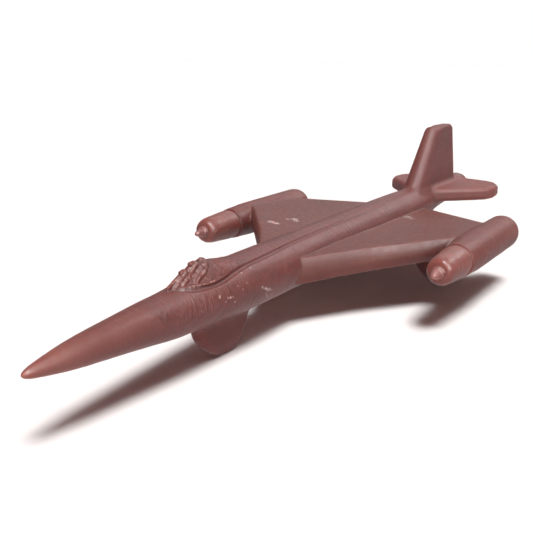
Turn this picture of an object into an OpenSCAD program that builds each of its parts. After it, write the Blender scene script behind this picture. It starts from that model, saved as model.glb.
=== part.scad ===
// Toy jet aeroplane, about 48 mm long, as seventeen moulded features that meet face to face.
// Nose towards -Y, left wing towards +X, standing on its three legs at Z = 0.

/* [Fuselage] */
// Overall length, from the nose tip to the end of the tail
length = 48; // [46:0.5:52]
// Radius of the middle of the fuselage
body_r = 1.55; // [1.4:0.05:1.7]
// Length of the tapering nose
nose_len = 14; // [12:0.5:16]
// How full the nose is: 0.5 is blunt, 1 is a plain cone
nose_power = 0.54; // [0.5:0.02:0.8]
// Radius at the open end of the tail
tail_r = 0.8; // [0.7:0.05:1]
// Height of the fuselage's middle line above the ground, at the nose tip
axis_z = 3.48; // [3.4:0.02:3.6]
// Upward slope of the fuselage's middle line, in degrees
axis_tilt = 0.28; // [0:0.02:0.5]

/* [Canopy and spine] */
// Radius of the canopy's bubble
canopy_r = 1.1; // [1.05:0.05:1.2]
// Width of the raised spine behind the canopy
spine_w = 1.8; // [1.5:0.05:2]
// Width of the raised spine near the fin
spine_w_rear = 1.1; // [0.9:0.05:1.3]
// Height of the top of the spine above the ground, behind the canopy
spine_top = 5.2; // [5.18:0.01:5.3]

/* [Wings] */
// Distance of the wing's front edge from the nose, at the fuselage
wing_root_front = 18.1; // [17:0.1:19]
// Distance of the wing's rear edge from the nose, at the fuselage
wing_root_rear = 37; // [36:0.1:38]
// Distance of the wing's front edge from the nose, at the tank
wing_tip_front = 26.1; // [25:0.1:27]
// Distance of the wing's rear edge from the nose, at the tank
wing_tip_rear = 32.6; // [31.5:0.1:33.2]
// Bevel along the wing's upper front edge
wing_bevel = 0.39; // [0.2:0.01:0.5]

/* [Tip tanks] */
// Distance from the middle of the aeroplane to the middle of a tank
tank_x = 8.12; // [7.8:0.02:8.4]
// Radius of the rear section of a tank
tank_r = 1.14; // [1:0.02:1.2]
// Radius of a tank just behind its rounded nose
tank_nose_r = 0.81; // [0.7:0.01:0.9]
// Distance of the tank's tip from the aeroplane's nose
tank_front = 20.85; // [20:0.05:21.5]
// Length of a tank, with its tip
tank_len = 13.4; // [12.5:0.1:14.5]

/* [Tail] */
// Height of the top of the fin above the ground
fin_top = 9.5; // [8.5:0.05:10.5]
// Thickness of the fin
fin_t = 0.72; // [0.5:0.02:0.9]
// Distance from the middle of the aeroplane to the end of a tailplane
tailplane_span = 4.15; // [3.6:0.05:4.4]
// Thickness of a tailplane
tailplane_t = 1; // [0.8:0.02:1.1]

/* [Legs] */
// Width of the nose leg across the aeroplane
leg_t = 0.85; // [0.7:0.05:1.1]
// Width of each main leg across the aeroplane
main_leg_t = 0.6; // [0.4:0.05:0.9]
// Distance from the middle of the aeroplane to the middle of a main leg
main_leg_x = 5.1; // [4.6:0.05:6]

/* [Hidden] */
$fn = 96;
tank_z = 3.6;          // height of the middle line of a tank
ring_s = 24.65;        // station of the ring between a tank's nose and body
plastic = [0.49, 0.33, 0.31];

// A body of revolution lying along the aeroplane: points are [radius, station from the nose]
module spun(points) { rotate([-90, 0, 0]) rotate_extrude() polygon(points); }

// Puts a shape given by stations from the nose into the aeroplane's frame
module place(x = 0, z = 0) { translate([x, -length / 2, z]) children(); }

// The nose follows a power curve, then the middle is straight and the tail narrows
nose_steps = 12;
nose_points = [for (i = [1 : nose_steps]) let (u = pow(i / nose_steps, 1.5)) [body_r * pow(u, nose_power), nose_len * u]];
fuselage_points = concat([[0, 0]], nose_points,
    [[body_r, 28], [1.46, 35], [1.24, 38], [1.06, 40.5], [0.95, 43], [0.9, 46.5], [tail_r + 0.08, length - 0.4], [tail_r - 0.1, length], [0, length]]);

module fuselage_solid() {
    place(0, axis_z) rotate([axis_tilt, 0, 0]) spun(fuselage_points);
}

module fuselage() {
    color(plastic) fuselage_solid();
}

// The canopy is a bubble of revolution around a line just above the fuselage's shoulder, with three raised frames
canopy_z = 4.4;
canopy_points = [[0, 8.7], [0.2, 8.8], [0.5, 9.4], [0.66, 9.65], [0.7, 9.9], [0.84, 10.2], [canopy_r - 0.15, 10.5],
    [canopy_r - 0.17, 10.8], [canopy_r - 0.03, 11.1], [canopy_r - 0.06, 11.4], [canopy_r, 11.6], [canopy_r - 0.12, 11.9], [0.92, 12.4], [0.86, 12.8], [0, 12.8]];
module canopy() {
    color(plastic) difference() {
        place(0, canopy_z) spun(canopy_points);
        fuselage_solid();
    }
}

// The spine is a long tapering ridge with bevelled shoulders, set into the top of the fuselage
spine_start = 12.8;
spine_end = 47.2;
module spine_slice(station, half, top) {
    translate([0, station - length / 2, 0]) rotate([90, 0, 0]) linear_extrude(0.02)
        polygon([[-half, 3.9], [half, 3.9], [half, top - 0.34], [half * 0.45, top], [-half * 0.45, top], [-half, top - 0.34]]);
}
module spine_solid() {
    hull() {
        spine_slice(spine_start + 0.02, spine_w / 2, spine_top);
        spine_slice(42, spine_w_rear / 2 + 0.1, spine_top + 0.14);
        spine_slice(spine_end, spine_w_rear / 2 - 0.1, spine_top - 0.2);
    }
}
module dorsal_spine() {
    color(plastic) difference() {
        spine_solid();
        fuselage_solid();
        place(0, canopy_z) spun(canopy_points);
    }
}

// One thin slice of the wing: front and rear stations, top and underside at the front, top and underside at the rear
module wing_slice(x, front, rear, top, under, top_rear, under_rear) {
    place(x) rotate([90, 0, 90]) linear_extrude(0.02)
        polygon([[front, under], [front, top - wing_bevel], [front + wing_bevel, top], [rear, top_rear], [rear, under_rear]]);
}
module wing_solid() {
    hull() {
        wing_slice(1.0, wing_root_front, wing_root_rear, 4.17, 2.55, 3.85, 3.29);
        wing_slice(7.32, wing_tip_front, wing_tip_rear, 4.59, 3.24, 4.27, 3.79);
    }
}
module wing() {
    color(plastic) difference() {
        wing_solid();
        fuselage_solid();
        spine_solid();
        tank_solid();
    }
}
module left_wing() { wing(); }
module right_wing() { mirror([1, 0, 0]) wing(); }

// The tank in three sections: body behind the ring, nose in front of it, and a small pointed tip
tank_end = tank_front + tank_len;
tank_dome = tank_front + 0.88;
tank_body_points = [[0, ring_s], [1.0, ring_s], [1.02, ring_s + 0.12], [tank_r, 27], [tank_r, tank_end - 0.8], [tank_r * 0.75, tank_end - 0.25], [tank_r * 0.35, tank_end], [0, tank_end]];
tank_nose_points = [[0, tank_dome], [0.42, tank_dome], [0.62, tank_dome + 0.1], [0.76, tank_dome + 0.26], [tank_nose_r, tank_dome + 0.5], [0.93, 24.3], [0.9, ring_s], [0, ring_s]];
tank_tip_points = [[0, tank_front], [0.12, tank_front + 0.08], [0.28, tank_front + 0.55], [0.3, tank_dome - 0.12], [0.42, tank_dome - 0.06], [0.42, tank_dome], [0, tank_dome]];
module tank_solid() {
    place(tank_x, tank_z) { spun(tank_body_points); spun(tank_nose_points); }
}
module tank_body() { color(plastic) place(tank_x, tank_z) spun(tank_body_points); }
module tank_nose() { color(plastic) place(tank_x, tank_z) spun(tank_nose_points); }
module tank_tip() { color(plastic) place(tank_x, tank_z) spun(tank_tip_points); }
module left_tank_body() { tank_body(); }
module right_tank_body() { mirror([1, 0, 0]) tank_body(); }
module left_tank_nose() { tank_nose(); }
module right_tank_nose() { mirror([1, 0, 0]) tank_nose(); }
module left_tank_tip() { tank_tip(); }
module right_tank_tip() { mirror([1, 0, 0]) tank_tip(); }

// The fin is a plate with a narrower front edge
module fin_plate(t, inset) {
    place() rotate([90, 0, 90]) translate([0, 0, -t / 2]) linear_extrude(t)
        polygon([[35.5 + inset, 4.2], [39.6 + inset, fin_top - 0.25], [39.95 + inset, fin_top], [43.75, fin_top], [44.2, fin_top - 0.3], [45, 4.2]]);
}
module fin_solid() {
    hull() { fin_plate(fin_t * 0.4, 0); fin_plate(fin_t, 0.3); }
}
module fin() {
    color(plastic) difference() {
        fin_solid();
        fuselage_solid();
        spine_solid();
    }
}

// A tailplane is a flat plate with a swept front edge and a rounded end
module tailplane() {
    color(plastic) difference() {
        hull() {
            place(0.4, 3.8) linear_extrude(tailplane_t * 0.7) polygon([[0, 38.9], [0, 46.6], [tailplane_span - 1.1, 46.2], [tailplane_span - 0.4, 45.3], [tailplane_span - 0.4, 43.1], [tailplane_span - 1.1, 42]]);
            place(0.4, 3.9) linear_extrude(tailplane_t * 0.88) polygon([[0, 39.2], [0, 46.4], [tailplane_span - 1.2, 46.1], [tailplane_span - 0.6, 45.1], [tailplane_span - 0.6, 43.3], [tailplane_span - 1.2, 42.3]]);
        }
        fuselage_solid();
        spine_solid();
        fin_solid();
    }
}
module left_tailplane() { tailplane(); }
module right_tailplane() { mirror([1, 0, 0]) tailplane(); }

// Side outline of a leg, given as [station, height]
module leg_plate(x, t, points) {
    place(x) rotate([90, 0, 90]) translate([0, 0, -t / 2]) linear_extrude(t) polygon(points);
}
nose_leg_points = [[10.5, 2.4], [10.6, 1.9], [10.8, 1.4], [11.15, 0.85], [11.65, 0.35], [12, 0.1], [12.3, 0], [12.9, 0], [13.2, 0.3], [13.9, 1.05], [14.35, 1.5], [14.55, 2], [14.7, 2.4]];
main_leg_points = [[25.4, 3.3], [26.4, 2.35], [26.9, 1.95], [27.4, 1.55], [27.9, 1.15], [28.7, 0.7], [29.3, 0.4], [29.9, 0.1], [30.2, 0], [31.1, 0], [31.4, 0.3], [31.7, 1.2], [31.9, 2.4], [32, 3.3]];
module nose_leg() {
    color(plastic) difference() {
        leg_plate(0, leg_t, nose_leg_points);
        fuselage_solid();
    }
}
module main_leg() {
    color(plastic) difference() {
        leg_plate(main_leg_x, main_leg_t, main_leg_points);
        wing_solid();
    }
}
module left_main_leg() { main_leg(); }
module right_main_leg() { mirror([1, 0, 0]) main_leg(); }

fuselage();
canopy();
dorsal_spine();
left_wing();
right_wing();
left_tank_body();
right_tank_body();
left_tank_nose();
right_tank_nose();
left_tank_tip();
right_tank_tip();
fin();
left_tailplane();
right_tailplane();
nose_leg();
left_main_leg();
right_main_leg();
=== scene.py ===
"""Looks of a small moulded toy aeroplane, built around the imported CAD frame.

The aeroplane is one plastic moulding, so its skin is one smooth field with a fillet at every join.
The field is cut into the same 17 named pieces as the CAD, so that neighbours share every point on their join.
"""
import math
import bpy
import numpy as np
from mathutils import Matrix, Vector


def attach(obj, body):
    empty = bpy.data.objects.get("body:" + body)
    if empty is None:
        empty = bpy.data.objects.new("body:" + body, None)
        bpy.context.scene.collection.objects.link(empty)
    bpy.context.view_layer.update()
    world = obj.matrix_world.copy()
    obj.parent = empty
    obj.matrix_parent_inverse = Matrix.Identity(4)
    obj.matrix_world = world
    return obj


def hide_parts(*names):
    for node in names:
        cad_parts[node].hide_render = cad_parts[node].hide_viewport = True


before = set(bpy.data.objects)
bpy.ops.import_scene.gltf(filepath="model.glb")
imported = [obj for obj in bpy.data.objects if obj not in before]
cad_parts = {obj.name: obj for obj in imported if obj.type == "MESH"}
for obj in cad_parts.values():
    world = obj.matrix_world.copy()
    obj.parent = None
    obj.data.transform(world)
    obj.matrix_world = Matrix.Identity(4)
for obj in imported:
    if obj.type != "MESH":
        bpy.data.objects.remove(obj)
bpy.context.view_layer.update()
scene = bpy.context.scene

# ---------------------------------------------------------------- curves
def pchip(xs, ys):
    """Monotone cubic through given points."""
    xs = np.asarray(xs, float); ys = np.asarray(ys, float)
    h = np.diff(xs); m = np.diff(ys) / h
    d = np.zeros(len(xs))
    for i in range(1, len(xs) - 1):
        if m[i - 1] * m[i] > 0:
            w1, w2 = 2 * h[i] + h[i - 1], h[i] + 2 * h[i - 1]
            d[i] = (w1 + w2) / (w1 / m[i - 1] + w2 / m[i])
    d[0], d[-1] = m[0], m[-1]
    def f(x):
        x = np.clip(x, xs[0], xs[-1])
        i = np.clip(np.searchsorted(xs, x, side="right") - 1, 0, len(h) - 1)
        t = (x - xs[i]) / h[i]
        return ((1 + 2 * t) * (1 - t) ** 2 * ys[i] + t * (1 - t) ** 2 * h[i] * d[i]
                + t * t * (3 - 2 * t) * ys[i + 1] + t * t * (t - 1) * h[i] * d[i + 1])
    return f

def table(f, lo, hi, n=1200):
    """A curve as a dense table, so it is quick to read on a grid."""
    x = np.linspace(lo, hi, n); y = f(x)
    return lambda v: np.interp(v, x, y)

def smin(a, b, k):
    h = np.clip(0.5 + 0.5 * (b - a) / k, 0, 1)
    return b + (a - b) * h - k * h * (1 - h)

def smax(a, b, k):
    return -smin(-a, -b, k)

def smooth(x, a, b):
    t = np.clip((x - a) / (b - a), 0, 1)
    return t * t * (3 - 2 * t)

def poly2d(px, py, pts):
    """Signed distance to a closed polygon, in its plane."""
    pts = np.asarray(pts, float); n = len(pts)
    d = np.full(np.shape(px), 1e9); s = np.ones(np.shape(px))
    for i in range(n):
        a, b = pts[i], pts[(i + 1) % n]
        e = b - a; wx, wy = px - a[0], py - a[1]
        t = np.clip((wx * e[0] + wy * e[1]) / (e @ e), 0, 1)
        d = np.minimum(d, (wx - e[0] * t) ** 2 + (wy - e[1] * t) ** 2)
        c1, c2, c3 = py >= a[1], py < b[1], e[0] * wy > e[1] * wx
        s = np.where((c1 & c2 & c3) | (~c1 & ~c2 & ~c3), -s, s)
    return s * np.sqrt(d)

def round_plate(d2, dz, r):
    """A plate of outline d2 and half-thickness distance dz, with its edges rounded by r."""
    a, b = d2 + r, dz + r
    return np.minimum(np.maximum(a, b), 0) + np.hypot(np.maximum(a, 0), np.maximum(b, 0)) - r

# ---------------------------------------------------------------- the aeroplane, in mm; s is the distance from the nose
L = 48.0
FUS_S = [0, .06, .25, 1, 2.5, 5, 9, 11.5, 14, 17, 20, 27.5, 35, 38, 40, 42, 44, 46.5, 48]
FUS_R = [0, .1, .2, .37, .615, .86, 1.212, 1.385, 1.515, 1.55, 1.555, 1.555, 1.46, 1.24, 1.03, .88, .83, .82, .78]
_fr = pchip(np.sqrt(FUS_S), FUS_R)
fus_r = table(lambda s: _fr(np.sqrt(np.clip(s, 0, L))), 0, L, 6000)
def fus_z(s):
    u = s / 50.0
    return 3.6 + .5 * (-.237 + .193 * u + .301 * u * u) - .055 * np.exp(-((s - 8.0) / 3.2) ** 2) - .055 * np.exp(-((s - 8.5) / 1.2) ** 2) + .22 * smooth(s, 36.5, 45)

def d_fus(x, s, z):
    r = np.hypot(x, z - fus_z(s)); R = fus_r(s)
    slope = (fus_r(np.clip(s + .05, 0, L)) - fus_r(np.clip(s - .05, 0, L))) / .1
    d = (r - R) / np.sqrt(1 + slope * slope)
    d = np.where(s < 0, np.hypot(r, s), d)
    return smax(d, s - L, .35)

SP_W = table(pchip([12, 13.3, 14.2, 16, 19, 24, 30, 36, 40, 44, 47.5], [.93, .86, .83, .79, .7, .63, .6, .58, .56, .54, .5]), 10, 48.2)
SP_T = table(pchip([12, 13, 22, 27, 32, 42, 45.5, 47, 47.9], [4.98, 5.07, 5.03, 4.98, 5.0, 5.13, 5.14, 5.02, 4.7]), 10, 48.2)
def d_spine(x, s, z):
    w, t = SP_W(s), SP_T(s)
    H = .62; p = 2.25
    q = (np.abs(x / w) ** p + (np.maximum(z - (t - H), 0) / H) ** p) ** (1 / p)
    d = np.maximum((q - 1) * np.minimum(w, H), t - H - .9 - z)
    d = smax(smax(d, 12.75 - s, .12), s - 47.95, .35)
    return smin(d, tube(x, s, z, LIP, .085), .05)
def k_spine(s):
    return .06 + .5 * smooth(s, 21, 34)

# canopy: a bubble, then its raised bows, pane edge and sill
CA_W = table(pchip([8.4, 8.7, 8.9, 9.1, 9.35, 9.6, 9.9, 10.3, 10.7, 11.2, 11.7, 12.2, 12.7, 13.35, 14], [.1, .25, .36, .46, .57, .67, .76, .85, .91, .95, .955, .935, .905, .86, .8]), 8, 15)
CA_T = table(pchip([8.3, 8.7, 9.0, 9.3, 9.6, 9.9, 10.2, 10.6, 11.0, 11.4, 11.8, 12.2, 12.6, 13.1, 14.2], [4.66, 4.83, 4.95, 5.09, 5.19, 5.3, 5.41, 5.48, 5.49, 5.45, 5.38, 5.3, 5.22, 5.15, 4.95]), 8, 15)
CA_Z = table(pchip([8.3, 9, 10, 11, 12, 13, 14], [4.4, 4.4, 4.37, 4.35, 4.4, 4.5, 4.55]), 8, 15)
def ca_p(s):
    return 1.0 + .3 * smooth(s, 9.9, 10.9) + .8 * smooth(s, 10.9, 12.6)
def canopy_base(x, s, z):
    w, t, z0 = CA_W(s), CA_T(s), CA_Z(s)
    H = np.maximum(t - z0, .1); p = ca_p(s)
    q = (np.abs(x / w) ** p + (np.maximum(z - z0, 0) / H) ** p) ** (1 / p)
    d = np.maximum((q - 1) * np.minimum(w, H) * .85, z0 - .8 - z)
    return smax(smax(d, 8.4 - s, .15), s - 14.0, .4)

def tube(x, s, z, pts, r):
    """A raised bead along a chain of points (x is mirrored); r may change along it."""
    X = np.abs(x); d = np.full(np.shape(x), 1e9)
    for (a, ra), (b, rb) in zip(pts[:-1], pts[1:]):
        a, b = np.array(a, float), np.array(b, float); e = b - a
        t = np.clip(((X - a[0]) * e[0] + (s - a[1]) * e[1] + (z - a[2]) * e[2]) / (e @ e), 0, 1)
        d = np.minimum(d, np.sqrt((X - a[0] - e[0] * t) ** 2 + (s - a[1] - e[1] * t) ** 2 + (z - a[2] - e[2] * t) ** 2) - (ra + (rb - ra) * t) * r)
    return d

def on_canopy(s, ang, lift=0.0):
    """A point on the bubble at a station; ang 0 is the side, 90 the top."""
    w, t, z0 = float(CA_W(s)), float(CA_T(s)), float(CA_Z(s)); H = max(t - z0, .1)
    c, n = np.cos(np.radians(ang)), np.sin(np.radians(ang)); p = float(ca_p(s))
    q = (abs(c / w) ** p + abs(n / H) ** p) ** (-1 / p)
    return (c * (q + lift), s, z0 + n * (q + lift))

def along(stations, angles, lifts, n=3):
    """Points on the bubble through listed (station, angle, lift), with more in between."""
    k = np.arange(len(stations)); u = np.linspace(0, len(stations) - 1, (len(stations) - 1) * n + 1)
    return [(on_canopy(a, b, c), 1.0) for a, b, c in zip(np.interp(u, k, stations), np.interp(u, k, angles), np.interp(u, k, lifts))]

BOWS = [  # each bow starts across the top, then leans forward as it comes down towards the sill
    (along([9.5, 9.68, 9.7, 9.6, 9.44, 9.26, 9.05, 8.89], [90, 90, 86, 83, 79, 75, 66, 57], [.04, .01, -.02, -.04, -.05, -.05, -.05, -.06], 2), .125),
    (along([10.2, 10.45, 10.52, 10.36, 10.15, 9.92, 9.71, 9.5, 9.29], [90, 90, 86, 83, 80, 76, 69, 60, 47], [.05, .01, -.02, -.04, -.05, -.05, -.05, -.05, -.06], 2), .125),
    (along([11.0, 11.12, 11.12, 11.0, 10.78, 10.5, 10.25, 10.05], [90, 88, 80, 69, 60, 53, 45, 33], [.01, .0, -.01, -.02, -.03, -.04, -.04, -.05], 2), .13),
]
PANE = along([8.55, 8.9, 9.3], [90, 90, 90], [-.07, -.07, -.07], 2)
SILL = along([9.03, 9.25, 9.53, 9.81, 10.09, 10.32, 10.56, 10.83, 11.04, 11.5, 12.0], [35, 26, 22, 19, 17, 14, 14, 14, 14, 14, 14], [-.02, -.01, -.01, -.01, 0, .0, .02, .03, .01, -.03, -.06], 1)
LIP = [((0, 13.32, 5.0), 1.0), ((.3, 13.28, 4.99), 1.0), ((.55, 13.15, 4.92), 1.0), ((.72, 13.02, 4.8), 1.0)]
def d_canopy(x, s, z):
    d = canopy_base(x, s, z)
    d = smin(d, tube(x, s, z, PANE, .09), .06)
    for pts, r in BOWS:
        d = smin(d, tube(x, s, z, pts, r), .07)
    return smin(d, tube(x, s, z, SILL, .08), .04)

# the groove outside the canopy sill, which runs on beside the spine and fades
GR_S = [8.6, 8.9, 8.97, 9.11, 9.36, 9.6, 9.9, 10.34, 10.73, 11.2, 11.66, 12.2, 12.67, 13.35, 14.05, 14.95, 16, 17, 18.2, 19.3, 20.5, 21.7, 23, 24.3, 25.8, 30]
GR_X = [.2, .33, .43, .53, .64, .735, .81, .895, .955, .99, .988, .96, .933, .888, .862, .845, .82, .778, .73, .7, .68, .665, .645, .62, .58, .54]
gr_x = table(pchip(GR_S, GR_X), 8.6, 30)
gr_r = table(pchip([8.6, 9.0, 9.6, 11, 13, 15, 20, 24, 28, 30], [.01, .06, .1, .115, .11, .105, .1, .08, .03, 0]), 8.6, 30)
def d_groove(x, s, z):
    xg = gr_x(s); sl = (gr_x(s + .05) - gr_x(s - .05)) / .1
    zg = fus_z(s) + np.sqrt(np.maximum(fus_r(s) ** 2 - xg * xg, .01))
    d = np.hypot((np.abs(x) - xg) / np.sqrt(1 + sl * sl), z - zg - .01) - gr_r(s)
    d = d + .12 * smooth(s, 26.5, 29.6) + .12 * smooth(-s, -9.0, -8.6)
    return np.maximum(d, np.maximum(8.6 - s, s - 29.9))

# wing
def wing_coords(x, s):
    u = (x - 1.0) / 6.32
    return 18.16 + 7.9 * u, 36.99 - 4.39 * u, u
def d_wing(x, s, z):
    X = np.abs(x)
    sl, st, u = wing_coords(X, s)
    sl = sl - .95 * np.clip((4.2 - X) / 2.9, 0, 1.15) ** 1.5      # the edge sweeps forward a little at the root
    v = np.clip((s - sl) / (st - sl), -.2, 1.2)
    zlt, zlb, ztt, ztb = 4.167 + .422 * u, 2.553 + .692 * u, 3.849 + .421 * u, 3.286 + .502 * u
    top = zlt + (ztt - zlt) * v + .05 * np.sin(np.pi * np.clip(v, 0, 1))
    bot = zlb + (ztb - zlb) * v
    p = (sl - s) * .6247
    d_bev = (.6 * p + .238 * (z - zlt + .6)) / .645
    d_low = (.3 * p - .25 * (z - zlb - .3)) / .39
    d = smax(smax(z - top, bot - z, .05), (s - st) * .821, .22)
    f = smax(p, d_bev, .16)
    f = smax(f, d_low, .25)
    d = smax(d, f, .1)
    return smax(d, X - 7.75, .1)

# tip tank
TX, TZ = 8.115, 3.606
TK_S = [21.7, 21.74, 21.85, 22.05, 22.35, 23.2, 24.3, 24.56, 24.62, 24.68, 24.76, 25.6, 26.6, 33.3, 33.8, 34.1, 34.28]
TK_R = [.45, .56, .69, .79, .85, .905, .965, .965, .885, .885, 1.01, 1.06, 1.12, 1.135, 1.03, .8, .45]
tk_r = table(pchip(TK_S, TK_R), 21.7, 34.28, 5000)
def tank_r2(x, z):
    return np.hypot(np.abs(x) - TX, z - TZ)
def d_tank(x, s, z):
    r = tank_r2(x, z); R = tk_r(s)
    sl = (tk_r(np.clip(s + .02, 21.7, 34.28)) - tk_r(np.clip(s - .02, 21.7, 34.28))) / .04
    d = (r - R) / np.sqrt(1 + np.minimum(sl * sl, 9))
    return smax(smax(d, 21.72 - s, .12), s - 34.28, .25)
def d_tip(x, s, z):
    r = tank_r2(x, z)
    disc = round_plate(r - .36, np.abs(s - 21.7) - .16, .05)
    cone = (r - np.interp(s, [20.86, 20.92, 21.08, 21.6], [0, .1, .19, .29])) * .93
    cone = smax(cone, 20.88 - s, .06); cone = np.maximum(cone, s - 21.75)
    return smin(disc, cone, .05)

# fin: a thick plate, blunt and round at its front
def d_fin(x, s, z):
    out = [[36.0, 4.2], [39.95, 9.3], [40.2, 9.5], [43.7, 9.5], [44.2, 9.25], [45.05, 4.2]]
    d2 = poly2d(s, z, out)
    le = ((s - 35.92) * 5.1 - (z - 4.2) * 3.78) / np.hypot(5.1, 3.78)
    half = np.interp(z, [4.6, 6.0, 9.0], [.7, .66, .52]) - .12 * smooth(le, 1.4, 3.5)
    r = half - .03 - (half - .2) * smooth(le, .7, 1.8)
    return round_plate(d2, np.abs(x) - half, r)

# tailplane
def d_tail(x, s, z):
    X = np.abs(x)
    out = [[0, 39.3], [3.1, 42.5], [3.68, 43.2], [3.88, 43.9], [3.82, 44.8], [3.42, 45.5], [3.0, 45.72], [0, 46.2]]
    d2 = poly2d(X, s, out) - .52
    return round_plate(d2, np.abs(z - 4.28) - .52, .36)

# legs
NL = [[10.2, 2.9], [10.35, 2.0], [10.57, 1.42], [10.95, .93], [11.45, .52], [11.95, .22], [12.4, .06], [12.8, 0.0], [13.3, 0.0], [13.65, .12], [13.95, .35], [14.15, .62], [14.32, .97], [14.6, 1.35], [14.78, 1.8], [14.9, 2.9]]
ML = [[25.65, 3.6], [26.05, 3.1], [26.85, 2.37], [27.31, 1.96], [27.79, 1.58], [28.37, 1.16], [29.14, .69], [29.72, .4], [30.2, .14], [30.5, 0.0], [31.3, 0.0], [31.6, .3], [31.85, 1.2], [32.0, 2.4], [32.2, 3.6]]
def d_nleg(x, s, z):
    half = .43 - .17 * (1 - smooth(z, 0.0, .9))
    return round_plate(poly2d(s, z, NL), np.abs(x) - half, half - .05)
def d_mleg(x, s, z):
    return round_plate(poly2d(s, z, ML), np.abs(np.abs(x) - 5.12) - .29 - .14 * smooth(z, .6, 3.0), .14)

PARTS = dict(fuselage=d_fus, dorsal_spine=d_spine, canopy=d_canopy, wing=d_wing, tank=d_tank, tank_tip=d_tip,
             fin=d_fin, tailplane=d_tail, nose_leg=d_nleg, main_leg=d_mleg, groove=d_groove)

def fused(x, s, z, D=None):
    """The whole moulding, with a fillet at each join."""
    if D is None:
        D = {k: f(x, s, z) for k, f in PARTS.items()}
    f = smin(D["fuselage"], D["dorsal_spine"], k_spine(s))
    f = smin(f, D["canopy"], .06)
    w = smin(D["wing"], D["tank"], .16)
    f = smin(f, w, .05)
    f = smin(f, D["fin"], .3)
    f = smin(f, D["tailplane"], .4)
    f = smin(f, D["nose_leg"], .32)
    f = smin(f, D["main_leg"], .32)
    f = smin(f, D["tank_tip"], .04)
    f = smax(f, -D["groove"], .09)
    return f, D
# ---------------------------------------------------------------- the 17 pieces
BOXES = {  # where each field is read: x, s, z in mm
    "fuselage": ((0, 2.6), (-.6, 48.6), (1.2, 6.0)),
    "dorsal_spine": ((0, 2.0), (11.8, 48.4), (3.2, 6.2)),
    "canopy": ((0, 2.2), (7.8, 14.8), (3.2, 6.2)),
    "wing": ((0, 9.8), (15.5, 39.5), (1.6, 5.6)),
    "tank": ((6.2, 9.8), (20.9, 35.2), (1.8, 5.6)),
    "tank_tip": ((7.2, 9.2), (20.2, 22.6), (2.6, 4.8)),
    "fin": ((0, 1.4), (34.5, 46.5), (3.6, 9.9)),
    "tailplane": ((0, 5.0), (37.5, 47.9), (3.2, 5.5)),
    "nose_leg": ((0, 1.6), (9.4, 15.7), (-.5, 3.6)),
    "main_leg": ((4.2, 6.2), (24.6, 32.8), (-.5, 4.4)),
    "groove": ((0, 1.8), (8.5, 30.1), (3.9, 5.3)),
}
LABELS = ["fuselage", "dorsal_spine", "canopy", "wing", "tank_nose", "tank_body", "tank_tip", "fin", "tailplane", "nose_leg", "main_leg"]
TANK_SPLIT = 24.65


def part_fields(x, s, z):
    """Every part's own distance at some points."""
    D = {}
    for k, fn in PARTS.items():
        (x0, x1), (s0, s1), (z0, z1) = BOXES[k]
        m = (np.abs(x) <= x1) & (np.abs(x) >= x0) & (s >= s0) & (s <= s1) & (z >= z0) & (z <= z1)
        d = np.full(np.shape(x), 9.0)
        if m.any():
            d[m] = fn(x[m], s[m], z[m])
        D[k] = d
    return D


def label_fields(D, s):
    """The distance that decides which piece a point belongs to, for each label."""
    t = D["tank"]
    return [D["fuselage"], D["dorsal_spine"], D["canopy"], D["wing"], np.maximum(t, s - TANK_SPLIT), np.maximum(t, TANK_SPLIT - s),
            D["tank_tip"], D["fin"], D["tailplane"], D["nose_leg"], D["main_leg"]]


def skin(P):
    D = part_fields(P[:, 0], P[:, 1], P[:, 2])
    return fused(P[:, 0], P[:, 1], P[:, 2], D)[0]


def both(P):
    """The skin field and all the label fields, as rows."""
    D = part_fields(P[:, 0], P[:, 1], P[:, 2])
    f = fused(P[:, 0], P[:, 1], P[:, 2], D)[0]
    return np.vstack([f] + label_fields(D, P[:, 1]))


def spaced(parts):
    """Grid lines from (end, step) pairs."""
    out = [parts[0]]
    for end, step in parts[1:]:
        a = out[-1]
        n = max(1, int(round((end - a) / step)))
        out += list(a + (end - a) * np.arange(1, n + 1) / n)
    return np.array(out)


def grid_lines(q):
    xs = spaced([.5 * .06 * q, (1.29, .06 * q), (7.0, .1 * q), (9.5, .08 * q)])
    xs = np.concatenate([[-xs[0]], xs])
    ss = spaced([-.25, (7.9, .1 * q), (13.5, .055 * q), (20.5, .1 * q), (22.4, .07 * q), (24.4, .1 * q), (24.95, .05 * q), (48.3, .1 * q)])
    zs = spaced([-.2, (2.5, .1 * q), (4.1, .085 * q), (5.6, .06 * q), (9.7, .1 * q)])
    return xs, ss, zs


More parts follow.
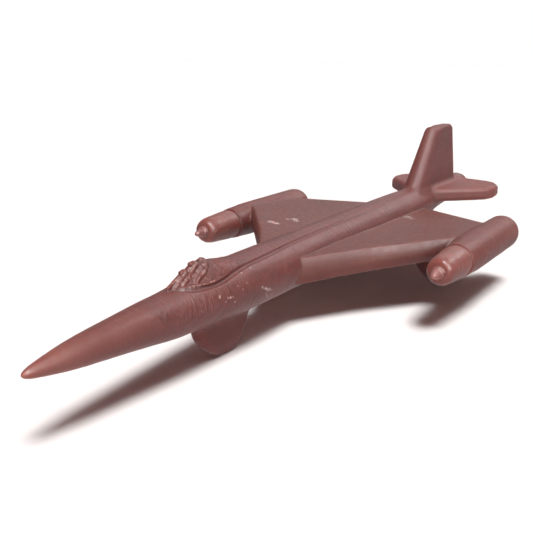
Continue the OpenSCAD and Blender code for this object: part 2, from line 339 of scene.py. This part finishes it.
def mesh_everything(q=1.0):
    xs, ss, zs = grid_lines(q)
    nx, ns, nz = len(xs), len(ss), len(zs)
    F = np.full((nx, ns, nz), 1.0)
    LAB = np.zeros((nx, ns, nz), np.int8)
    D = {k: np.full((nx, ns, nz), 9.0, np.float32) for k in PARTS}
    for k, fn in PARTS.items():
        (x0, x1), (s0, s1), (z0, z1) = BOXES[k]
        i = np.where((np.abs(xs) >= x0) & (np.abs(xs) <= x1))[0]
        j = np.where((ss >= s0) & (ss <= s1))[0]
        m = np.where((zs >= z0) & (zs <= z1))[0]
        sl = np.ix_(i, j, m)
        X, S, Z = np.meshgrid(xs[i], ss[j], zs[m], indexing="ij")
        D[k][sl] = fn(X, S, Z)
    for i in range(0, nx, 16):
        X, S, Z = np.meshgrid(xs[i:i + 16], ss, zs, indexing="ij")
        d = {k: v[i:i + 16].astype(float) for k, v in D.items()}
        f = fused(X, S, Z, d)[0]
        F[i:i + 16] = f
        lab = np.argmin(np.stack(label_fields(d, S)), axis=0) + 1
        LAB[i:i + 16] = np.where(f < 0, lab, 0)
    del D
    # a cell is live where its corners carry different labels
    c0 = LAB[:-1, :-1, :-1]
    live = np.zeros(c0.shape, bool)
    for a in (0, 1):
        for b in (0, 1):
            for c in (0, 1):
                live |= LAB[a:nx - 1 + a, b:ns - 1 + b, c:nz - 1 + c] != c0
    cells = np.argwhere(live)
    idx = -np.ones(live.shape, np.int64)
    idx[live] = np.arange(len(cells))
    corner = np.stack([LAB[cells[:, 0] + a, cells[:, 1] + b, cells[:, 2] + c] for a in (0, 1) for b in (0, 1) for c in (0, 1)], 1)
    lo = np.stack([xs[cells[:, 0]], ss[cells[:, 1]], zs[cells[:, 2]]], 1)
    hi = np.stack([xs[cells[:, 0] + 1], ss[cells[:, 1] + 1], zs[cells[:, 2] + 1]], 1)
    # starting point: the mean of the crossings of the cell's edges
    acc = np.zeros((len(cells), 3)); cnt = np.zeros(len(cells))
    for ax in range(3):
        o = [i for i in range(3) if i != ax]
        for u in (0, 1):
            for v in (0, 1):
                a = cells.copy(); a[:, o[0]] += u; a[:, o[1]] += v
                b = a.copy(); b[:, ax] += 1
                fa, fb = F[tuple(a.T)], F[tuple(b.T)]
                la, lb = LAB[tuple(a.T)], LAB[tuple(b.T)]
                m = la != lb
                t = np.where((fa < 0) != (fb < 0), fa / np.where(fa == fb, 1, fa - fb), .5)
                p = np.stack([xs[a[:, 0]], ss[a[:, 1]], zs[a[:, 2]]], 1)
                p[:, ax] += t * (hi[:, ax] - lo[:, ax])
                acc[m] += p[m]; cnt[m] += 1
    V = acc / cnt[:, None]
    # which labels meet in the cell
    has = np.stack([(corner == k).any(1) for k in range(len(LABELS) + 1)], 1)
    outside = has[:, 0]
    inner = has[:, 1:]
    n_in = inner.sum(1)
    skin_only = outside & (n_in == 1)
    mixed = ~skin_only
    centre = cells[:, 0] == 0
    V[centre, 0] = 0
    e = .004
    ids = np.where(skin_only)[0]
    for _ in range(3):
        P = V[ids]; f = skin(P); g = np.empty_like(P)
        for i in range(3):
            a = P.copy(); b = P.copy(); a[:, i] += e; b[:, i] -= e
            g[:, i] = (skin(a) - skin(b)) / (2 * e)
        st = -(f / np.maximum((g * g).sum(1), .05))[:, None] * g
        V[ids] += np.clip(st, -.06, .06)
        V[centre, 0] = 0
    ids = np.where(mixed)[0]
    order = np.argsort(~inner[ids], axis=1, kind="stable")[:, :3]
    for _ in range(5):
        P = V[ids]; B = both(P); G = np.empty((len(B), len(P), 3))
        for i in range(3):
            a = P.copy(); b = P.copy(); a[:, i] += e; b[:, i] -= e
            G[:, :, i] = (both(a) - both(b)) / (2 * e)
        r = np.arange(len(P))
        k0, k1, k2 = order[:, 0] + 1, order[:, 1] + 1, order[:, 2] + 1
        res = np.zeros((len(P), 3)); J = np.zeros((len(P), 3, 3))
        on = outside[ids]
        res[on, 0] = B[0][on]; J[on, 0] = G[0][on]
        two = n_in[ids] >= 2
        res[two, 1] = (B[k0, r] - B[k1, r])[two]; J[two, 1] = (G[k0, r] - G[k1, r])[two]
        three = (n_in[ids] >= 3) & ~on
        res[three, 2] = (B[k0, r] - B[k2, r])[three]; J[three, 2] = (G[k0, r] - G[k2, r])[three]
        A = J @ np.swapaxes(J, 1, 2) + np.eye(3) * 2e-3
        y = np.linalg.solve(A, res[:, :, None])
        st = -(np.swapaxes(J, 1, 2) @ y)[:, :, 0]
        V[ids] += np.clip(st, -.05, .05)
        V[ids] = np.clip(V[ids], lo[ids] - .05, hi[ids] + .05)
        V[centre, 0] = 0
    N = np.empty_like(V)
    for i in range(3):
        a = V.copy(); b = V.copy(); a[:, i] += e; b[:, i] -= e
        N[:, i] = (skin(a) - skin(b)) / (2 * e)
    N[centre, 0] = 0
    N /= np.linalg.norm(N, axis=1)[:, None] + 1e-9
    # one quad for each grid edge whose ends carry different labels
    Q, LA, LB = [], [], []
    for ax in range(3):
        o = [i for i in range(3) if i != ax]
        s0 = [slice(None)] * 3; s1 = [slice(None)] * 3
        s0[ax] = slice(0, -1); s1[ax] = slice(1, None)
        a, b = LAB[tuple(s0)], LAB[tuple(s1)]
        E = np.argwhere(a != b)
        E = E[(E[:, o[0]] > 0) & (E[:, o[1]] > 0)]
        if ax != 0:
            E = E[E[:, 0] >= 1]
        qd = []
        for du, dv in ((0, 0), (1, 0), (1, 1), (0, 1)):
            K = E.copy(); K[:, o[0]] -= du; K[:, o[1]] -= dv
            qd.append(idx[tuple(K.T)])
        qd = np.stack(qd, 1)
        if ax == 1:
            qd = qd[:, ::-1]
        Q.append(qd); LA.append(a[tuple(E.T)]); LB.append(b[tuple(E.T)])
    return V, N, centre, np.concatenate(Q), np.concatenate(LA), np.concatenate(LB)


def to_metres(V):
    return np.stack([V[:, 0], V[:, 1] - 24.0, V[:, 2]], 1) / 1000.0


def piece_arrays(V, N, centre, Q, LA, LB, label, whole, sign=1):
    """The closed mesh of one label: its points, faces, and a normal for each face corner."""
    k = LABELS.index(label) + 1
    fa, fb = Q[LA == k], Q[LB == k]            # quads whose low end, or high end, is inside the piece
    oa, ob = LB[LA == k], LA[LB == k]
    faces = np.vstack([fa, fb[:, ::-1]])
    other = np.concatenate([oa, ob])
    if whole:                                  # a piece on the centre plane is its half and the mirror of it
        used, inv = np.unique(faces, return_inverse=True)
        inv = inv.reshape(faces.shape)
        P, M, C = V[used], N[used], centre[used]
        mir = np.arange(len(used)) + len(used)
        mir[C] = np.where(C)[0]
        keep = ~C
        newid = np.cumsum(keep) - 1 + len(used)
        mir = np.where(C, np.arange(len(used)), newid)
        P = np.vstack([P, P[keep] * [-1, 1, 1]]); M = np.vstack([M, M[keep] * [-1, 1, 1]])
        faces = np.vstack([inv, mir[inv][:, ::-1]])
        other = np.concatenate([other, other])
    else:
        used, inv = np.unique(faces, return_inverse=True)
        faces = inv.reshape(faces.shape)
        P, M = V[used], N[used]
        if sign < 0:
            P = P * [-1, 1, 1]; M = M * [-1, 1, 1]
            faces = faces[:, ::-1]
    return to_metres(P), M, faces, other


def make_object(name, P, M, faces, other):
    me = bpy.data.meshes.new(name)
    # drop quads that have folded onto a line
    a, b, c, d = (P[faces[:, i]] for i in range(4))
    area = np.linalg.norm(np.cross(c - a, d - b), axis=1)
    ok = area > 1e-14
    faces, other = faces[ok], other[ok]
    me.vertices.add(len(P)); me.vertices.foreach_set("co", P.astype(np.float32).ravel())
    me.loops.add(faces.size); me.loops.foreach_set("vertex_index", faces.astype(np.int32).ravel())
    me.polygons.add(len(faces))
    me.polygons.foreach_set("loop_start", (np.arange(len(faces)) * 4).astype(np.int32))
    me.update(calc_edges=True)
    me.validate()
    # the skin is smooth, and a hidden join face is flat
    if len(me.polygons) == len(faces):
        fn = np.cross(c[ok] - a[ok], d[ok] - b[ok]); fn /= np.linalg.norm(fn, axis=1)[:, None] + 1e-30
        ln = M[faces].copy()
        ln[other != 0] = fn[other != 0][:, None, :]
        me.polygons.foreach_set("use_smooth", np.ones(len(faces), bool))
        me.normals_split_custom_set(ln.reshape(-1, 3).tolist())
    else:
        print("piece", name, "lost faces in validate:", len(faces) - len(me.polygons))
        me.polygons.foreach_set("use_smooth", np.ones(len(me.polygons), bool))
    ob = bpy.data.objects.new(name, me)
    scene.collection.objects.link(ob)
    return ob


PIECES = [  # name, label, on the centre plane, side, CAD node, slot, material
    ("skin_fuselage", "fuselage", True, 1, "fuselage", "body_plastic", "body"),
    ("skin_dorsal_spine", "dorsal_spine", True, 1, "dorsal_spine", "body_plastic", "body"),
    ("skin_canopy", "canopy", True, 1, "canopy", "canopy_plastic", "canopy"),
    ("skin_left_wing", "wing", False, 1, "left_wing", "wing_plastic", "wing"),
    ("skin_right_wing", "wing", False, -1, "right_wing", "wing_plastic", "wing"),
    ("skin_left_tank_nose", "tank_nose", False, 1, "left_tank_nose", "tank_plastic", "tank_nose"),
    ("skin_right_tank_nose", "tank_nose", False, -1, "right_tank_nose", "tank_plastic", "tank_nose"),
    ("skin_left_tank_body", "tank_body", False, 1, "left_tank_body", "tank_plastic", "tank"),
    ("skin_right_tank_body", "tank_body", False, -1, "right_tank_body", "tank_plastic", "tank"),
    ("skin_left_tank_tip", "tank_tip", False, 1, "left_tank_tip", "tank_plastic", "tip"),
    ("skin_right_tank_tip", "tank_tip", False, -1, "right_tank_tip", "tank_plastic", "tip"),
    ("skin_fin", "fin", True, 1, "fin", "tail_plastic", "fin"),
    ("skin_left_tailplane", "tailplane", False, 1, "left_tailplane", "tail_plastic", "tail"),
    ("skin_right_tailplane", "tailplane", False, -1, "right_tailplane", "tail_plastic", "tail"),
    ("skin_nose_leg", "nose_leg", True, 1, "nose_leg", "leg_plastic", "leg"),
    # the main legs take the near-black painted shade plastic
    ("skin_left_main_leg", "main_leg", False, 1, "left_main_leg", "leg_plastic", "rear_leg"),
    ("skin_right_main_leg", "main_leg", False, -1, "right_main_leg", "leg_plastic", "rear_leg"),
]

# ---------------------------------------------------------------- materials
def node(nt, kind, **sets):
    n = nt.nodes.new(kind)
    for k, v in sets.items():
        if k.startswith("in_"):
            n.inputs[k[3:].replace("__", " ")].default_value = v
        else:
            setattr(n, k, v)
    return n


def ramp(nt, src, stops, socket="Fac"):
    r = nt.nodes.new("ShaderNodeValToRGB")
    cr = r.color_ramp
    while len(cr.elements) > 1:
        cr.elements.remove(cr.elements[-1])
    cr.elements[0].position, cr.elements[0].color = stops[0][0], (*stops[0][1], 1) if len(stops[0][1]) == 3 else stops[0][1]
    for p, c in stops[1:]:
        e = cr.elements.new(p); e.color = (*c, 1)
    nt.links.new(src, r.inputs["Fac"])
    return r.outputs["Color"]


def grey(*stops):
    return [(p, (v, v, v)) for p, v in stops]


def mixed_colour(nt, fac, a, b, mode="MIX"):
    m = nt.nodes.new("ShaderNodeMix"); m.data_type = "RGBA"; m.blend_type = mode
    if isinstance(fac, (int, float)):
        m.inputs[0].default_value = fac
    else:
        nt.links.new(fac, m.inputs[0])
    for s, v in ((m.inputs[6], a), (m.inputs[7], b)):
        if isinstance(v, tuple):
            s.default_value = (*v, 1)
        else:
            nt.links.new(v, s)
    return m.outputs[2]


def plastic(name, base, deep, pale, marks=.5, rough=.42, shine=.5, sss=.6, nose_glow_len=0.0, lumps=0.0, depth=.00003, scuffs_and_highlights=(), scuff_and_highlight_strength=.78, lump_scale=3600.0):
    """Semi-translucent dark red-brown plastic: cloudy colour, fine tool marks, a few pale scuff marks; where asked,
    also a painted glow towards the nose and painted highlights drawn as pale marks.
    """
    m = bpy.data.materials.new(name); m.use_nodes = True
    nt = m.node_tree; nt.nodes.clear()
    out = nt.nodes.new("ShaderNodeOutputMaterial"); bs = nt.nodes.new("ShaderNodeBsdfPrincipled")
    nt.links.new(bs.outputs[0], out.inputs["Surface"])
    tc = nt.nodes.new("ShaderNodeTexCoord"); P = tc.outputs["Object"]
    cloud = node(nt, "ShaderNodeTexNoise", in_Scale=420.0, in_Detail=3.0, in_Roughness=.55); nt.links.new(P, cloud.inputs["Vector"])
    fine = node(nt, "ShaderNodeTexNoise", in_Scale=3600.0, in_Detail=3.0, in_Roughness=.6); nt.links.new(P, fine.inputs["Vector"])
    c = ramp(nt, cloud.outputs["Fac"], [(.3, deep), (.52, base), (.75, pale)])
    speck = node(nt, "ShaderNodeTexNoise", in_Scale=1500.0, in_Detail=2.0, in_Roughness=.5); nt.links.new(P, speck.inputs["Vector"])
    sp = ramp(nt, speck.outputs["Fac"], grey((.70, 0), (.76, .12)))
    c = mixed_colour(nt, sp, c, (.42, .30, .28))
    grain = ramp(nt, fine.outputs["Fac"], grey((.3, .86), (.7, 1.0)))
    c = mixed_colour(nt, 1.0, c, grain, "MULTIPLY")
    if nose_glow_len:                                   # painted glow: towards the tip the nose is painted lighter and more orange, standing in for light coming through the thin end
        nose = node(nt, "ShaderNodeMapping"); nose.inputs["Scale"].default_value = (1, 1, 1)
        nose.inputs["Location"].default_value = (0, .024, 0); nt.links.new(P, nose.inputs["Vector"])
        big = node(nt, "ShaderNodeVectorMath", operation="SCALE"); big.inputs[3].default_value = 1000 / nose_glow_len
        nt.links.new(nose.outputs[0], big.inputs[0])
        ax = nt.nodes.new("ShaderNodeSeparateXYZ"); nt.links.new(big.outputs[0], ax.inputs[0])
        painted_glow = ramp(nt, ax.outputs["Y"], grey((0.0, .75), (.3, .36), (.8, 0)))
        c = mixed_colour(nt, painted_glow, c, (.3, .105, .082))
        fade = ramp(nt, ax.outputs["Y"], grey((.45, .3), (.95, 1.0)))      # the cutter marks fade out towards the nose
    if scuffs_and_highlights:                                 # pale nicks and scuff marks, and painted highlights drawn the same way, at listed places: x, station, z, radius in mm
        broken = node(nt, "ShaderNodeTexNoise", in_Scale=7000.0, in_Detail=1.0); nt.links.new(P, broken.inputs["Vector"])
        patchy_mask = ramp(nt, broken.outputs["Fac"], grey((.38, 0), (.5, 1)))
        mask = None
        for x, s, z, rad in scuffs_and_highlights:
            far = node(nt, "ShaderNodeVectorMath", operation="DISTANCE"); nt.links.new(P, far.inputs[0])
            far.inputs[1].default_value = (x / 1000, (s - 24) / 1000, z / 1000)
            near = nt.nodes.new("ShaderNodeMapRange")
            nt.links.new(far.outputs["Value"], near.inputs["Value"])
            near.inputs["From Min"].default_value = rad / 1000; near.inputs["From Max"].default_value = rad * .4 / 1000
            if mask is None:
                mask = near.outputs[0]
            else:
                top = node(nt, "ShaderNodeMath", operation="MAXIMUM"); nt.links.new(mask, top.inputs[0]); nt.links.new(near.outputs[0], top.inputs[1])
                mask = top.outputs[0]
        both_masks = node(nt, "ShaderNodeMath", operation="MULTIPLY"); nt.links.new(mask, both_masks.inputs[0]); nt.links.new(patchy_mask, both_masks.inputs[1])
        part = node(nt, "ShaderNodeMath", operation="MULTIPLY", use_clamp=True); nt.links.new(both_masks.outputs[0], part.inputs[0]); part.inputs[1].default_value = scuff_and_highlight_strength
        c = mixed_colour(nt, part.outputs[0], c, (.66, .52, .48))
    nt.links.new(c, bs.inputs["Base Color"])
    r = ramp(nt, fine.outputs["Fac"], grey((.3, rough - .08), (.7, rough + .1)))
    nt.links.new(r, bs.inputs["Roughness"])
    bs.inputs["IOR"].default_value = 1.5
    bs.inputs["Specular IOR Level"].default_value = shine
    if sss:
        bs.inputs["Subsurface Weight"].default_value = sss
        bs.inputs["Subsurface Radius"].default_value = (1.0, .28, .2)
        bs.inputs["Subsurface Scale"].default_value = .0006
    # relief: orange-peel and tool marks that run round the long parts
    b1 = node(nt, "ShaderNodeBump", in_Strength=.25, in_Distance=.00002); nt.links.new(fine.outputs["Fac"], b1.inputs["Height"])
    mp = nt.nodes.new("ShaderNodeMapping"); mp.inputs["Scale"].default_value = (1400.0, 6600.0, 1400.0); nt.links.new(P, mp.inputs["Vector"])
    tm = node(nt, "ShaderNodeTexNoise", in_Scale=1.0, in_Detail=2.5, in_Roughness=.6); nt.links.new(mp.outputs[0], tm.inputs["Vector"])
    b2 = node(nt, "ShaderNodeBump", in_Strength=marks, in_Distance=depth); nt.links.new(tm.outputs["Fac"], b2.inputs["Height"])
    nt.links.new(b1.outputs[0], b2.inputs["Normal"])
    if nose_glow_len:
        nt.links.new(fade, b2.inputs["Strength"])
    last = b2
    if lumps:
        lump = node(nt, "ShaderNodeTexNoise", in_Scale=lump_scale, in_Detail=1.0, in_Roughness=.5); nt.links.new(P, lump.inputs["Vector"])
        last = node(nt, "ShaderNodeBump", in_Strength=lumps, in_Distance=.00012); nt.links.new(lump.outputs["Fac"], last.inputs["Height"])
        nt.links.new(b2.outputs[0], last.inputs["Normal"])
    nt.links.new(last.outputs[0], bs.inputs["Normal"])
    return m


BASE = (.19, .054, .046)
NICKS = [(1.53, 14.2, 3.55, .09), (1.53, 14.35, 3.47, .1), (1.53, 14.5, 3.4, .1), (1.53, 14.65, 3.32, .11), (1.52, 14.8, 3.26, .12), (1.52, 14.95, 3.2, .12), (1.52, 15.1, 3.17, .1),
         (1.49, 14.68, 3.04, .11), (1.44, 14.8, 2.9, .1), (1.38, 14.93, 2.77, .1), (1.06, 13.82, 4.59, .1), (1.06, 12.97, 4.53, .07), (1.28, 10.85, 3.89, .1),
         (1.36, 11.4, 3.7, .08), (1.38, 11.58, 3.67, .09), (1.38, 11.78, 3.64, .07), (1.39, 11.93, 3.36, .07), (1.24, 9.49, 3.52, .08), (1.31, 12.3, 4.07, .05),
         (1.4, 12.6, 3.85, .06), (1.36, 13.0, 4.06, .06), (1.35, 11.22, 3.55, .05)]
WORN = [(-4.3, 24.1, 4.36, .36), (-3.9, 24.05, 4.34, .32), (-3.97, 25.65, 4.31, .22), (-3.66, 26.0, 4.28, .32), (-3.34, 25.65, 4.26, .25),
        (1.44, 32.5, 4.06, .3), (1.85, 32.3, 4.04, .35), (2.4, 31.7, 4.07, .25)]
# painted highlights: pale marks on the canopy's bows and sill bead that stand in for the light catching them
CANOPY_PAINTED_HIGHLIGHTS = [(0.13, 9.65, 5.23, 0.13), (0.1, 9.47, 5.13, 0.13), (0.09, 9.27, 5.04, 0.13), (0.08, 9.07, 4.95, 0.13), (0.09, 8.85, 4.83, 0.13), (0.16, 10.48, 5.48, 0.13),
          (0.14, 10.29, 5.4, 0.13), (0.11, 10.1, 5.29, 0.13), (0.29, 10.04, 5.02, 0.13), (0.32, 9.73, 4.96, 0.13), (0.31, 9.47, 4.89, 0.13), (0.28, 9.26, 4.8, 0.13),
          (0.28, 10.88, 5.32, 0.13), (0.3, 10.63, 5.24, 0.13), (0.3, 10.35, 5.14, 0.13), (0.51, 10.92, 5.17, 0.13), (0.56, 10.63, 5.1, 0.13), (0.52, 10.45, 5.07, 0.13),
          (0.54, 9.49, 4.59, 0.09), (0.6, 9.69, 4.6, 0.09), (0.66, 9.88, 4.6, 0.09), (0.71, 10.03, 4.6, 0.09), (0.8, 10.26, 4.58, 0.09), (0.86, 10.46, 4.6, 0.09),
          (0.9, 10.68, 4.62, 0.09), (0.93, 10.87, 4.62, 0.09)]
MATS = {
    # the body's nose carries a painted glow, lighter and more orange towards the tip
    "body": plastic("moulded_plastic_body", (.172, .047, .041), (.14, .04, .034), (.19, .066, .056), marks=1.0, rough=.38, shine=.62, nose_glow_len=9.0, depth=.000055, scuffs_and_highlights=NICKS),
    # the canopy's pale marks are painted highlights on its bows and sill bead
    "canopy": plastic("moulded_plastic_canopy", (.17, .046, .038), (.135, .036, .031), (.19, .058, .049), marks=.25, rough=.42, shine=.45, lumps=.6, scuffs_and_highlights=CANOPY_PAINTED_HIGHLIGHTS, scuff_and_highlight_strength=.3),
    "wing": plastic("moulded_plastic_wing", (.168, .053, .043), (.15, .049, .04), (.178, .065, .053), marks=.12, rough=.42, shine=.42, lumps=.07, lump_scale=9000.0, scuffs_and_highlights=WORN),
    "tank": plastic("moulded_plastic_tank", (.178, .051, .043), (.15, .043, .036), (.2, .068, .056), marks=.35, rough=.4, shine=.42, lumps=.12, lump_scale=6500.0),
    # painted glow: the tank noses are painted lighter and more orange than the tank bodies, standing in for light
    # through the thin nose
    "tank_nose": plastic("plastic_painted_glow_tank_nose", (.245, .074, .06), (.2, .058, .048), (.27, .095, .08), marks=.2, rough=.36, shine=.65, lumps=.3, lump_scale=5000.0),
    # painted highlight: the tank tips are painted pale, standing in for the light on the small cone
    "tip": plastic("plastic_painted_highlight_tip", (.3, .125, .112), (.25, .098, .088), (.36, .17, .152), marks=.2, rough=.34, shine=.85),
    # painted light: the tailplanes are painted lighter than the rest of the plastic, standing in for light on these
    # small thin parts
    "tail": plastic("plastic_painted_light_tail", (.21, .061, .052), (.18, .055, .047), (.22, .076, .064), marks=.08, rough=.52, shine=.5),
    "fin": plastic("moulded_plastic_fin", (.172, .049, .042), (.15, .044, .038), (.182, .062, .053), marks=.08, rough=.52, shine=.5),
    # painted shade: the nose leg is painted a little darker than the body, for the shade under the fuselage
    "leg": plastic("plastic_painted_shade_nose_leg", (.155, .046, .041), (.14, .041, .036), (.17, .055, .048), marks=.06, rough=.5, shine=.3),
    # painted shade: the main legs are painted near black, for the shade under the wings
    "rear_leg": plastic("moulded_plastic_rear_leg", (.075, .019, .017), (.067, .016, .014), (.083, .023, .02), marks=.06, rough=.6, shine=.05),
}

# ---------------------------------------------------------------- pieces
Q_STEP = 1.0
V, N, centre, Q, LA, LB = mesh_everything(Q_STEP)
for name, label, whole, side, cad, slot, mat in PIECES:
    P, M, faces, other = piece_arrays(V, N, centre, Q, LA, LB, label, whole, side)
    ob = make_object(name, P, M, faces, other)
    ob.data.materials.append(MATS[mat])
    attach(ob, "root")
    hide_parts(cad)
    print(name, len(ob.data.vertices), "points", len(ob.data.polygons), "faces")

# ---------------------------------------------------------------- floor, lights, camera
def floor():
    me = bpy.data.meshes.new("floor")
    n, R = 96, .6
    ang = np.linspace(0, 2 * np.pi, n, endpoint=False)
    pts = [(0, 0, 0)] + [(R * math.cos(a), R * math.sin(a), 0) for a in ang]
    me.from_pydata(pts, [], [(0, 1 + i, 1 + (i + 1) % n) for i in range(n)])
    ob = bpy.data.objects.new("floor", me); scene.collection.objects.link(ob)
    m = bpy.data.materials.new("floor_white"); m.use_nodes = True
    nt = m.node_tree; bs = nt.nodes["Principled BSDF"]
    tc = nt.nodes.new("ShaderNodeTexCoord")
    nz = node(nt, "ShaderNodeTexNoise", in_Scale=300.0, in_Detail=2.0); nt.links.new(tc.outputs["Object"], nz.inputs["Vector"])
    c = ramp(nt, nz.outputs["Fac"], [(.3, (.86, .86, .86)), (.7, (.9, .9, .895))])
    nt.links.new(c, bs.inputs["Base Color"])
    bs.inputs["Roughness"].default_value = .9
    bs.inputs["Specular IOR Level"].default_value = .1
    me.materials.append(m)
    ob.visible_glossy = False
    return ob


floor()


def area_light(name, direction, distance, size, power, colour=(1, 1, 1), target=(0, 0, .003)):
    l = bpy.data.lights.new(name, "AREA"); l.shape = "DISK"; l.size = size; l.energy = power; l.color = colour
    ob = bpy.data.objects.new(name, l); scene.collection.objects.link(ob)
    d = Vector(direction).normalized()
    ob.location = Vector(target) + d * distance
    ob.rotation_euler = d.to_track_quat("Z", "Y").to_euler()
    return ob


def panel_light(name, direction, distance, width, height, radiance, colour=(1, 1, 1), target=(0, 0, .003)):
    ob = area_light(name, direction, distance, width, math.pi * width * height * radiance, colour, target)
    ob.data.shape = "RECTANGLE"; ob.data.size = width; ob.data.size_y = height
    return ob


def sun_light(name, direction, spread, strength, colour=(1, 1, 1)):
    l = bpy.data.lights.new(name, "SUN"); l.angle = math.radians(spread); l.energy = strength; l.color = colour
    ob = bpy.data.objects.new(name, l); scene.collection.objects.link(ob)
    d = Vector(direction).normalized()
    ob.location = d * .5
    ob.rotation_euler = d.to_track_quat("Z", "Y").to_euler()
    return ob


sun_light("key", (.27, -.25, .93), 18, 3.2, (1, .99, .98))
sun_light("key_halo", (.26, -.14, .955), 36, .7, (1, .99, .98))
sun_light("front_fill", (.5, -.86, .08), 16, .9, (1, .84, .75))
# the bright walls of the room, which show only in the plastic's sheen
for ob in (sun_light("glint", (.85, -.22, .49), 34, 3.5),
           sun_light("shoulder_sheen", (.3, .76, .57), 22, .42),
           panel_light("back_panel", (-.06, .8, .59), .55, .52, .26, 1.05)):
    ob.visible_diffuse = False
w = bpy.data.worlds.new("world"); scene.world = w; w.use_nodes = True
wt = w.node_tree; bg = wt.nodes["Background"]
lp = wt.nodes.new("ShaderNodeLightPath")


def world_mix(ray, a, b):
    m = wt.nodes.new("ShaderNodeMix"); m.data_type = "RGBA"
    wt.links.new(lp.outputs[ray], m.inputs[0])
    if isinstance(a, tuple):
        m.inputs[6].default_value = (*a, 1)
    else:
        wt.links.new(a, m.inputs[6])
    if isinstance(b, tuple):
        m.inputs[7].default_value = (*b, 1)
    else:
        wt.links.new(b, m.inputs[7])
    return m.outputs[2]


# reflections see a bright table below the horizon and a dimmer room above it
wc = wt.nodes.new("ShaderNodeTexCoord"); wx = wt.nodes.new("ShaderNodeSeparateXYZ"); wt.links.new(wc.outputs["Generated"], wx.inputs[0])
wr = wt.nodes.new("ShaderNodeMapRange"); wt.links.new(wx.outputs["Z"], wr.inputs["Value"])
wr.inputs["From Min"].default_value = .1; wr.inputs["From Max"].default_value = -.45
room = wt.nodes.new("ShaderNodeMix"); room.data_type = "RGBA"; wt.links.new(wr.outputs[0], room.inputs[0])
room.inputs[6].default_value = (.27, .27, .275, 1); room.inputs[7].default_value = (.52, .52, .53, 1)
sheen = world_mix("Is Glossy Ray", (.1, .034, .031), room.outputs[2])
wt.links.new(world_mix("Is Camera Ray", sheen, (1, 1, 1)), bg.inputs[0])
bg.inputs[1].default_value = 1.0

# the camera's right, down and forward directions, and its place in metres
RIGHT, DOWN, FWD = (.8355891, .5492467, .0109049), (.1647000, -.2315281, -.9587850), (-.5240848, .8029463, -.2839232)
CAM_AT = (.021943, -.041036, .015597)
cam = bpy.data.cameras.new("camera"); co = bpy.data.objects.new("camera", cam); scene.collection.objects.link(co)
right, up, back = Vector(RIGHT), -Vector(DOWN), -Vector(FWD)
co.matrix_world = Matrix(((right.x, up.x, back.x, CAM_AT[0]), (right.y, up.y, back.y, CAM_AT[1]), (right.z, up.z, back.z, CAM_AT[2]), (0, 0, 0, 1)))
cam.sensor_width = 36.0
cam.lens = 51.343
cam.shift_x = .00617
cam.shift_y = .00394
cam.clip_start = .001
cam.clip_end = 10.0
cam.dof.use_dof = False
scene.camera = co
scene.view_settings.view_transform = "Standard"
scene.view_settings.look = "None"
